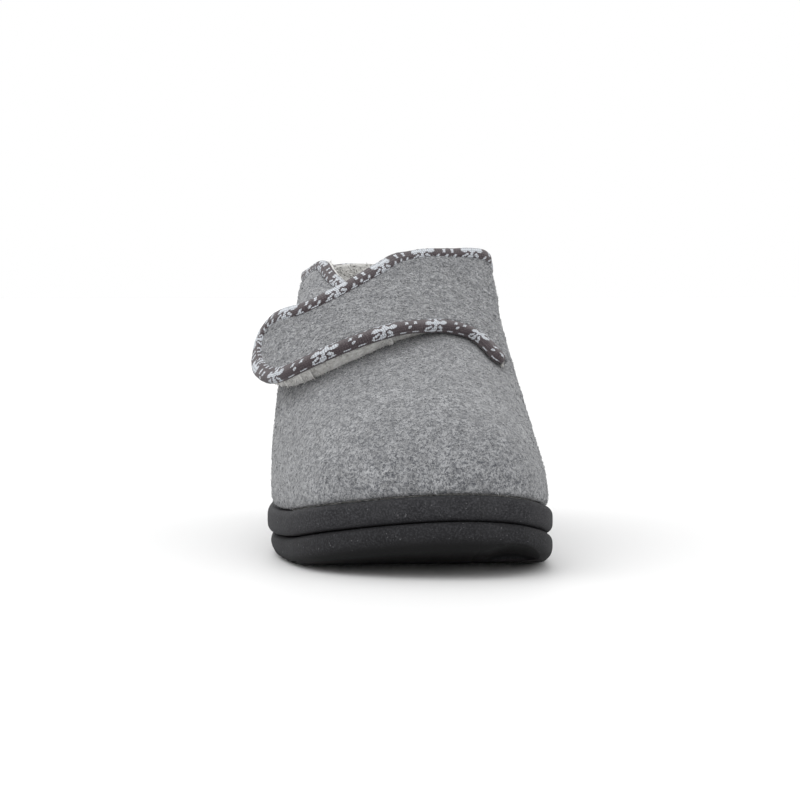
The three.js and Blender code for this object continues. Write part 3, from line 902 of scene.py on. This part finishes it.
def locks(name, piece, count, seed, long, thick, lean, allowed=None, grain=7 * MM, trimmed=None):
    """Pile: closed tapered spikes of three turns, leaning together in soft whirls."""
    place, normal, draw = scatter(piece, count, seed, allowed)
    along, across = frames(normal, draw)
    whirl = np.array([noise.noise_vector(Vector(p) / grain) for p in place])
    whirl -= normal * (whirl * normal).sum(1)[:, None]
    along = whirl * 2.2 + along * 0.6
    along /= np.linalg.norm(along, axis=1)[:, None] + 1e-9
    across = np.cross(normal, along)
    length = long * (0.6 + 0.8 * draw.random(count))[:, None]
    if trimmed is not None:
        length *= trimmed(place)[:, None]
    width = thick * (0.7 + 0.6 * draw.random(count))[:, None]
    slope = lean * (0.6 + 0.8 * draw.random(count))[:, None]
    wave = (draw.random(count)[:, None] - 0.5) * 1.2
    rings = []
    for share, girth in LOCK_STOPS:
        centre = (place + normal * length * (share - 0.12) * (1 - 0.35 * slope * share)
                  + along * length * slope * share ** 1.6 + across * length * 0.3 * wave * np.sin(share * 4))
        for k in range(3):
            angle = 2 * np.pi * k / 3 + share
            rings.append(centre + (along * np.cos(angle) + across * np.sin(angle)) * width * girth / 2)
    tip = (place + normal * length * (1 - 0.35 * slope) + along * length * slope
           + across * length * 0.3 * wave * np.sin(4))
    points = np.stack([*rings, tip], 1).reshape(-1, 3)
    sides = [[0, 2, 1]]
    for ring in (0, 3):
        for k in range(3):
            m = (k + 1) % 3
            sides += [[ring + k, ring + m, ring + 3 + m], [ring + k, ring + 3 + m, ring + 3 + k]]
    sides += [[6 + k, 6 + (k + 1) % 3, 9] for k in range(3)]
    triangles = (np.arange(count)[:, None, None] * 10 + np.array(sides)).reshape(-1, 3)
    mesh = mesh_of(name, points, triangles)
    tone_of(mesh, draw.random(count), 10, np.array([0.0] * 3 + [0.4] * 3 + [0.75] * 3 + [1.0]))
    return new_piece(name, mesh)


# %% [markdown]
# The pile is long in the lining, where it shows, and a short stubble on the flap's cut edge. The felt gets
# loose fibres that lie almost flat: they roughen its outline, which no bump could do.

# %% The pile and the loose wool
MOST_LOCKS = 12400


def seen_in_lining(centre, facing):
    """The sheet's inner side, under the tape and above the toes, where an eye at the collar reaches."""
    axis = np.array([5, 50, 60]) * MM
    inside = ((axis - centre) * facing).sum(1) > 0
    return inside * (centre[:, 2] > 34 * MM) * (centre[:, 1] > -48 * MM)


def trimmed_at_rim(place):
    below = np.array([rim_tree.find(Vector(p))[2] for p in place])
    return 0.3 + 0.7 * np.clip((below - 3 * MM) / (12 * MM), 0, 1)


lining_locks = locks("lining_locks", lining, MOST_LOCKS, 11, 3.4 * MM, 0.75 * MM, 0.9, seen_in_lining,
                     trimmed=trimmed_at_rim)
finish(lining_locks, "insole")

footbed_locks = locks("footbed_locks", footbed, 6000, 12, 3.2 * MM, 0.8 * MM, 0.9,
                      lambda c, n: (n[:, 2] > 0.6) * (c[:, 1] > -45 * MM))
finish(footbed_locks, "insole")


def pile_edge(centre, facing):
    """The pile's cut edge, and the strip of its underside beside it."""
    return (np.abs((facing * (centre - np.array([4, 5, 50]) * MM)).sum(1)) < 0.055) * 1.0


flap_locks = locks("flap_locks", flap_pile, 8000, 13, 0.9 * MM, 0.4 * MM, 0.8, pile_edge)
finish(flap_locks, "insole")


def outer_side(centre, facing):
    return ((centre - np.array([4, 10, 45]) * MM) * facing).sum(1) > 0


upper_nap = flecks("upper_nap", felt_upper, 26000, 21, 1.2 * MM, 0.16 * MM, 0.6 * MM, outer_side)
finish(upper_nap, "upper")
flap_nap = flecks("flap_nap", flap_felt, 9000, 22, 1.2 * MM, 0.16 * MM, 0.55 * MM, outer_side)
finish(flap_nap, "wrap_flap")

# %% [markdown]
# The finishes are node materials. Each reads Object coordinates, so that the grain stays on the piece, or
# the numbers that a piece carries for its stitches, its locks and its loose wool.

# %% Helpers for materials
def new_material(name, roughness, **sockets):
    material = bpy.data.materials.new(name)
    material.use_nodes = True
    shader = material.node_tree.nodes["Principled BSDF"]
    shader.inputs["Roughness"].default_value = roughness
    for socket, value in sockets.items():
        shader.inputs[socket.replace("_", " ")].default_value = value
    return material, material.node_tree, shader


def node(tree, kind, inputs=(), **settings):
    made = tree.nodes.new("ShaderNode" + kind)
    for key, value in settings.items():
        setattr(made, key, value)
    for socket, value in dict(inputs).items():
        if hasattr(value, "is_linked"):
            tree.links.new(value, made.inputs[socket])
        else:
            made.inputs[socket].default_value = value
    return made


def place(tree):
    return node(tree, "TexCoord").outputs["Object"]


def grain(tree, size, detail=3, rough=0.55, stretch=(1, 1, 1), turn=(0, 0, 0)):
    """Noise whose waves are about size long, stretched along turned axes."""
    mapping = node(tree, "Mapping", {
        "Vector": place(tree), "Rotation": [math.radians(a) for a in turn],
        "Scale": [size * s for s in stretch]}, vector_type="TEXTURE")
    return node(tree, "TexNoise", {"Vector": mapping.outputs["Vector"], "Scale": 1.0, "Detail": detail,
                                   "Roughness": rough}).outputs["Fac"]


def between(tree, value, low, high, to_low=0.0, to_high=1.0):
    """A value spread from one range to another, smooth at both ends."""
    return node(tree, "MapRange", {"Value": value, "From Min": low, "From Max": high, "To Min": to_low,
                                   "To Max": to_high}, interpolation_type="SMOOTHSTEP").outputs["Result"]


def maths(tree, operation, a, b):
    return node(tree, "Math", {0: a, 1: b}, operation=operation).outputs["Value"]


def blend(tree, share, a, b):
    made = node(tree, "Mix", {"Factor": share}, data_type="RGBA")
    for socket, value in ((made.inputs[6], a), (made.inputs[7], b)):
        if hasattr(value, "is_linked"):
            tree.links.new(value, socket)
        else:
            socket.default_value = (*value, 1)
    return made.outputs[2]


def raise_surface(tree, shader, height, distance, strength=1.0):
    bump = node(tree, "Bump", {"Height": height, "Distance": distance, "Strength": strength})
    tree.links.new(bump.outputs["Normal"], shader.inputs["Normal"])


def carried(tree, name):
    return node(tree, "Attribute", attribute_name=name).outputs["Fac"]


def colour(tree, shader, value):
    tree.links.new(value, shader.inputs["Base Color"])


# %% [markdown]
# Grey felt is dark and light wool pressed together. Stretched noise, turned five ways, draws the fibres,
# and softer noise in three sizes draws the clouds between them.

# %% Felt: grey wool, mottled by dark and light fibres
WOOL_DARK = (0.06, 0.064, 0.074)
WOOL = (0.34, 0.345, 0.356)
WOOL_LIGHT = (0.56, 0.565, 0.57)
FIBRE_TURNS = [(10, 20, 35), (65, 15, 100), (25, 75, 160), (90, 50, 10), (35, 110, 70)]
LIGHT_TURNS = [(80, 40, 10), (5, 50, 75), (40, 10, 130), (100, 85, 45), (60, 120, 20)]


def fibres(tree, size, low, high, turns):
    strokes = None
    for turn in turns:
        stroke = between(tree, grain(tree, size, 2, 0.6, (2.4, 1, 1), turn), low, high)
        strokes = stroke if strokes is None else maths(tree, "MAXIMUM", strokes, stroke)
    return strokes


def felt_material(name, wool):
    material, tree, shader = new_material(name, 0.95, Specular_IOR_Level=0.2, Sheen_Weight=0.25,
                                          Sheen_Roughness=0.6)
    clouds = grain(tree, 14 * MM, 3)
    blotches = grain(tree, 3.2 * MM, 4, 0.65)
    mottle = grain(tree, 1.2 * MM, 5, 0.7)
    dark = fibres(tree, 0.62 * MM, 0.59, 0.7, FIBRE_TURNS)
    light = fibres(tree, 0.45 * MM, 0.61, 0.74, LIGHT_TURNS)
    base = blend(tree, between(tree, clouds, 0.3, 0.7), [0.84 * c for c in wool], [1.12 * c for c in wool])
    base = blend(tree, between(tree, blotches, 0.36, 0.6), [0.56 * c for c in wool], base)
    base = blend(tree, between(tree, mottle, 0.36, 0.58), WOOL_DARK, base)
    base = blend(tree, maths(tree, "MULTIPLY", dark, 0.95), base, WOOL_DARK)
    base = blend(tree, maths(tree, "MULTIPLY", light, 0.75), base, WOOL_LIGHT)
    colour(tree, shader, base)
    height = maths(tree, "ADD", maths(tree, "MULTIPLY", mottle, 1.2), maths(tree, "MULTIPLY", light, 0.5))
    raise_surface(tree, shader, height, 0.35 * MM, 0.8)
    return material


def nap_material():
    material, tree, shader = new_material("loose wool", 0.9, Specular_IOR_Level=0.2, Sheen_Weight=0.2)
    tone = carried(tree, "tone")
    base = blend(tree, between(tree, tone, 0.0, 0.5), WOOL_DARK, WOOL)
    colour(tree, shader, blend(tree, between(tree, tone, 0.5, 1.0), base, WOOL_LIGHT))
    return material


# %% [markdown]
# Fleece is one colour, but little light reaches its roots, so each lock is darker there.

# %% Fleece: off-white pile, darker at its roots
FLEECE = (0.76, 0.755, 0.735)
FLEECE_ROOT_SHADE = (0.58, 0.57, 0.55)
FLEECE_WARM = (0.86, 0.85, 0.83)


def fleece_sheet_material():
    material, tree, shader = new_material("fleece sheet", 1.0, Specular_IOR_Level=0.1, Sheen_Weight=0.3)
    curls = grain(tree, 1.6 * MM, 4, 0.65)
    # The sheet takes the roots' painted shade where its curls are low.
    colour(tree, shader, blend(tree, between(tree, curls, 0.35, 0.65), FLEECE_ROOT_SHADE, FLEECE))
    raise_surface(tree, shader, curls, 0.9 * MM, 0.8)
    return material


def fleece_lock_material():
    material, tree, shader = new_material("fleece locks", 0.95, Specular_IOR_Level=0.15, Sheen_Weight=0.3)
    # Each lock runs from painted shade at its root to its own colour at the tip.
    base = blend(tree, carried(tree, "height"), FLEECE_ROOT_SHADE, FLEECE)
    warm = blend(tree, maths(tree, "MULTIPLY", carried(tree, "tone"), 0.25), base, FLEECE_WARM)
    colour(tree, shader, warm)
    return material


# %% [markdown]
# The tape's colour comes from the numbers that its points carry. The stitch and the row draw small V shapes,
# and a little noise frays the white yarn's border. The loops are lighter on top, a painted highlight, and
# darker in the gaps between them, painted shade.

# %% Knit: dark tape with white yarn where its chart says so
TAPE = (0.042, 0.032, 0.036)
TAPE_PAINTED_HIGHLIGHT = (0.125, 0.103, 0.108)
YARN = (0.5, 0.525, 0.56)


def knit_material():
    material, tree, shader = new_material("knit tape", 0.85, Specular_IOR_Level=0.25, Sheen_Weight=0.2)
    fuzz = grain(tree, 0.45 * MM, 3, 0.6)
    edge = maths(tree, "ADD", carried(tree, "white"), maths(tree, "SUBTRACT", fuzz, 0.5))
    white = between(tree, edge, 0.34, 0.54)
    stitch = maths(tree, "FRACT", carried(tree, "stitch"), 0.0)
    leg = maths(tree, "ABSOLUTE", maths(tree, "SUBTRACT", stitch, 0.5), 0.0)
    slant = maths(tree, "ADD", carried(tree, "row"), leg)
    loop = maths(tree, "ABSOLUTE", maths(tree, "SINE", maths(tree, "MULTIPLY", slant, math.pi), 0.0), 0.0)
    gap = between(tree, leg, 0.3, 0.5, 1.0, 0.1)
    height = maths(tree, "MULTIPLY", loop, gap)
    # Loop tops are lighter and the gaps darker: painted highlight and painted shade, on the dark ground and
    # on the white yarn.
    dark = blend(tree, maths(tree, "MULTIPLY", height, between(tree, fuzz, 0.3, 0.7)), TAPE, TAPE_PAINTED_HIGHLIGHT)
    pale = blend(tree, between(tree, height, 0.05, 0.6), [0.4 * c for c in YARN], [1.12 * c for c in YARN])
    colour(tree, shader, blend(tree, white, dark, pale))
    height = maths(tree, "ADD", height, maths(tree, "MULTIPLY", fuzz, 0.4))
    raise_surface(tree, shader, height, 0.16 * MM, 0.8)
    return material


# %% [markdown]
# Moulded foam is matt and has a fine grain with a few pale specks, from noise in three sizes.

# %% Foam: charcoal, matt, with a fine grain
PARTING_AT = 20.5 * MM
UNDERSIDE_PAINTED_SHADE = (0.006, 0.006, 0.0065)
MIDSOLE_FOAM = (0.013, 0.013, 0.015), (0.021, 0.021, 0.023)
OUTSOLE_FOAM = (0.009, 0.009, 0.0105), (0.015, 0.015, 0.0165)


def foam_material(name, dark, light, speck=0.1):
    """Charcoal foam. The tread's underside is blacker with painted shade, and a mould's parting line crosses
    the toe.
    """
    material, tree, shader = new_material(name, 0.8, Specular_IOR_Level=0.22)
    clouds = grain(tree, 16 * MM, 3)
    fine = grain(tree, 0.7 * MM, 4, 0.7)
    specks = between(tree, grain(tree, 0.9 * MM, 1, 0.5), 0.7, 0.78)
    base = blend(tree, between(tree, clouds, 0.3, 0.7), dark, light)
    base = blend(tree, between(tree, fine, 0.4, 0.7, 0.0, 0.8), base, [2.6 * c for c in light])
    base = blend(tree, specks, base, (speck, speck, 1.05 * speck))
    # The underside is blended towards near black: painted shade beneath the tread.
    colour(tree, shader, blend(tree, carried(tree, "under"), base, UNDERSIDE_PAINTED_SHADE))
    side = node(tree, "SeparateXYZ", {"Vector": place(tree)}).outputs["X"]
    away = maths(tree, "ABSOLUTE", maths(tree, "SUBTRACT", side, PARTING_AT), 0.0)
    line = between(tree, away, 0.1 * MM, 0.35 * MM, -1.5, 0.0)
    raise_surface(tree, shader, maths(tree, "ADD", fine, line), 0.18 * MM, 0.8)
    return material


def mark_painted_underside_shade(piece):
    """Each point's share of the painted shade beneath the tread, from its normal: 0 on the side, 1 beneath.
    """
    down = -normals_of(piece)[:, 2]
    layer = piece.data.attributes.new("under", "FLOAT", "POINT")
    layer.data.foreach_set("value", np.clip((down - 0.2) / 0.45, 0, 1).astype(np.float32))


# %% Giving each piece its finish
def paint(material, *painted):
    for piece in painted:
        piece.data.materials.clear()
        piece.data.materials.append(material)


paint(felt_material("felt of the upper", WOOL), felt_upper)
paint(felt_material("felt of the flap", [0.98 * c for c in WOOL]), flap_felt)
paint(nap_material(), upper_nap, flap_nap)
paint(fleece_sheet_material(), lining, footbed, flap_pile)
paint(fleece_lock_material(), lining_locks, footbed_locks, flap_locks)
paint(knit_material(), binding_flap_knit, binding_collar_knit)
# The outsole's points carry their share of the painted shade beneath the tread.
mark_painted_underside_shade(outsole_band)
paint(foam_material("foam of the midsole", *MIDSOLE_FOAM), midsole_band)
paint(foam_material("foam of the outsole", *OUTSOLE_FOAM), outsole_band)
print("finishes:", sorted(material.name for material in bpy.data.materials if material.users))
